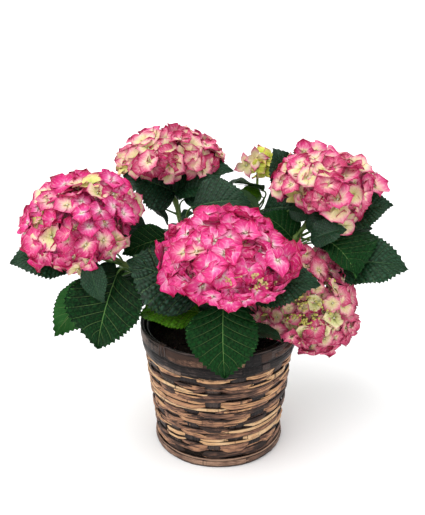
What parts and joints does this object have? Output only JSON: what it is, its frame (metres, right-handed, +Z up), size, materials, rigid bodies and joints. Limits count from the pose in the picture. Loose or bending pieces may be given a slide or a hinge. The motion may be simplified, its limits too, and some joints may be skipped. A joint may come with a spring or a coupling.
{
  "type": "potted hydrangea shrub",
  "caption": "Potted mophead hydrangea with pink flower heads and broad toothed leaves, standing in a round woven basket cover.",
  "frame": {"origin": "centre of the flat underside of the basket", "axes": "+Z up, -Y towards the side with the lowest and largest flower head, +X to the right seen from that side"},
  "size_m": [0.4768, 0.3239, 0.3819],
  "materials": {
    "weave": "satin",
    "band": "satin",
    "pot_plastic": "satin",
    "soil": "rough",
    "bark": "rough",
    "green_stem": "satin",
    "leaf": "satin",
    "leaf_fresh": "satin",
    "petal": "satin",
    "petal_dusty": "satin",
    "petal_lime": "satin"
  },
  "bodies": {
    "root": {"basket": "weave", "basket_foot_band": "band", "basket_rim_band": "band", "bloom_back": "petal", "bloom_bud": "petal_lime", "bloom_front": "petal", "bloom_left": "petal", "bloom_low": "petal_dusty", "bloom_right": "petal", "grow_pot": "pot_plastic", "leaf_back_left": "leaf", "leaf_back_low": "leaf", "leaf_back_right": "leaf", "leaf_behind_left": "leaf", "leaf_bright": "leaf_fresh", "leaf_edge_on": "leaf", "leaf_front": "leaf", "leaf_left_broad": "leaf", "leaf_left_hang": "leaf", "leaf_left_small": "leaf", "leaf_left_tip": "leaf", "leaf_low_right": "leaf", "leaf_mid_left": "leaf", "leaf_narrow": "leaf", "leaf_quilted": "leaf", "leaf_rear_a": "leaf", "leaf_rear_b": "leaf", "leaf_rear_c": "leaf", "leaf_rear_d": "leaf", "leaf_rear_e": "leaf", "leaf_rear_f": "leaf", "leaf_rear_g": "leaf", "leaf_rear_h": "leaf", "leaf_rear_i": "leaf", "leaf_rear_j": "leaf", "leaf_rear_k": "leaf", "leaf_rear_l": "leaf", "leaf_rear_p": "leaf", "leaf_rear_q": "leaf", "leaf_right_below": "leaf", "leaf_right_far": "leaf", "leaf_right_fold": "leaf", "leaf_right_inner": "leaf", "leaf_right_outer": "leaf", "leaf_right_sliver": "leaf", "leaf_right_tip": "leaf", "leaf_right_under": "leaf", "leaf_right_upper": "leaf", "leaf_rim_right": "leaf", "leaf_side_left": "leaf", "leaf_side_right": "leaf", "leaf_top_mid": "leaf", "main_stem_crown": "bark", "soil": "soil", "stem_back": "green_stem", "stem_bud": "green_stem", "stem_front": "green_stem", "stem_left": "green_stem", "stem_low": "green_stem", "stem_right": "green_stem"}
  },
  "joints": []
}
